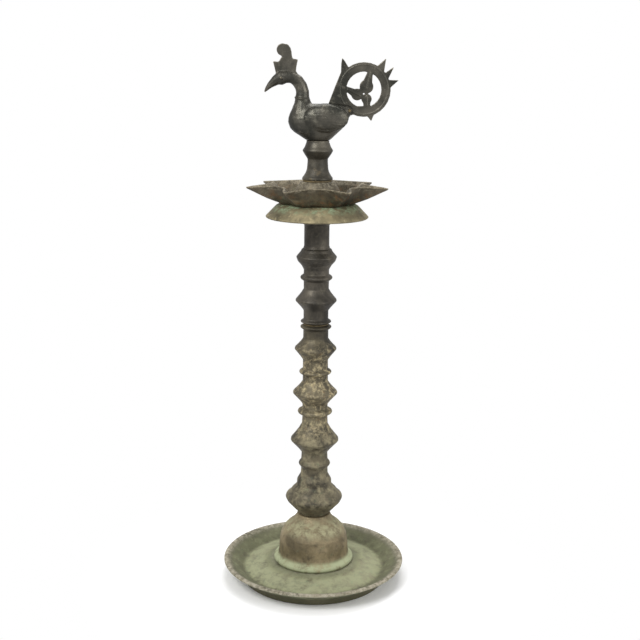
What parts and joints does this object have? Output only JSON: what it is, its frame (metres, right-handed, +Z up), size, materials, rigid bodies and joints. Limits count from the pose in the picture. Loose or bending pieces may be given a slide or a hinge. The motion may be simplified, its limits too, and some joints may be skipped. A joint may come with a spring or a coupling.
{
  "type": "standing oil lamp",
  "caption": "Standing oil lamp in cast bronze: wide dish, bell foot, knopped column, drip skirt, star-shaped pan of wick spouts and a bird finial with a pierced tail.",
  "frame": {"origin": "centre of the foot ring's underside, on the surface it stands on", "axes": "+Z up the column, -X the way the bird looks, +Y away from the viewer of the picture"},
  "size_m": [0.228, 0.228, 0.6602],
  "materials": {
    "bronze_dark": "satin",
    "bronze_brown": "matte",
    "bronze_olive": "matte",
    "bronze_verdigris": "matte",
    "brass_worn": "satin",
    "iron_dark": "matte"
  },
  "bodies": {
    "base": {"base_dish": "bronze_verdigris", "bell_foot": "bronze_olive", "tie_bolt": "iron_dark", "tie_washer": "iron_dark", "tie_nut": "iron_dark", "column_lower": "bronze_brown"},
    "joint_ring": {"joint_washer": "brass_worn"},
    "upper_column": {"column_upper": "bronze_dark", "top_stud": "bronze_dark", "drip_skirt": "bronze_olive"},
    "pan": {"oil_pan": "bronze_brown"},
    "seal": {"pan_washer": "brass_worn"},
    "finial": {"finial_stem": "bronze_dark", "bird": "bronze_dark", "bird_tail": "bronze_dark", "tail_pin": "brass_worn"}
  },
  "joints": [
    {"name": "column_lift", "type": "slide", "parent": "base", "child": "joint_ring", "axis": [0, 0, 1], "range_m": [0, 0.012]},
    {"name": "column_turn", "type": "hinge", "parent": "joint_ring", "child": "upper_column", "pos_m": [0, 0, 0.3275], "axis": [0, 0, 1], "range_deg": [0, 1080]},
    {"name": "pan_turn", "type": "hinge", "parent": "upper_column", "child": "pan", "pos_m": [0, 0, 0.475], "axis": [0, 0, 1], "continuous": true},
    {"name": "finial_lift", "type": "slide", "parent": "upper_column", "child": "seal", "axis": [0, 0, 1], "range_m": [0, 0.0105]},
    {"name": "finial_turn", "type": "hinge", "parent": "seal", "child": "finial", "pos_m": [0, 0, 0.5035], "axis": [0, 0, 1], "range_deg": [0, 1080]}
  ],
  "couplings": [
    {"joint": "column_lift", "follows": "column_turn", "m_per_rad": 0.00063662},
    {"joint": "finial_lift", "follows": "finial_turn", "m_per_rad": 0.00055704}
  ]
}
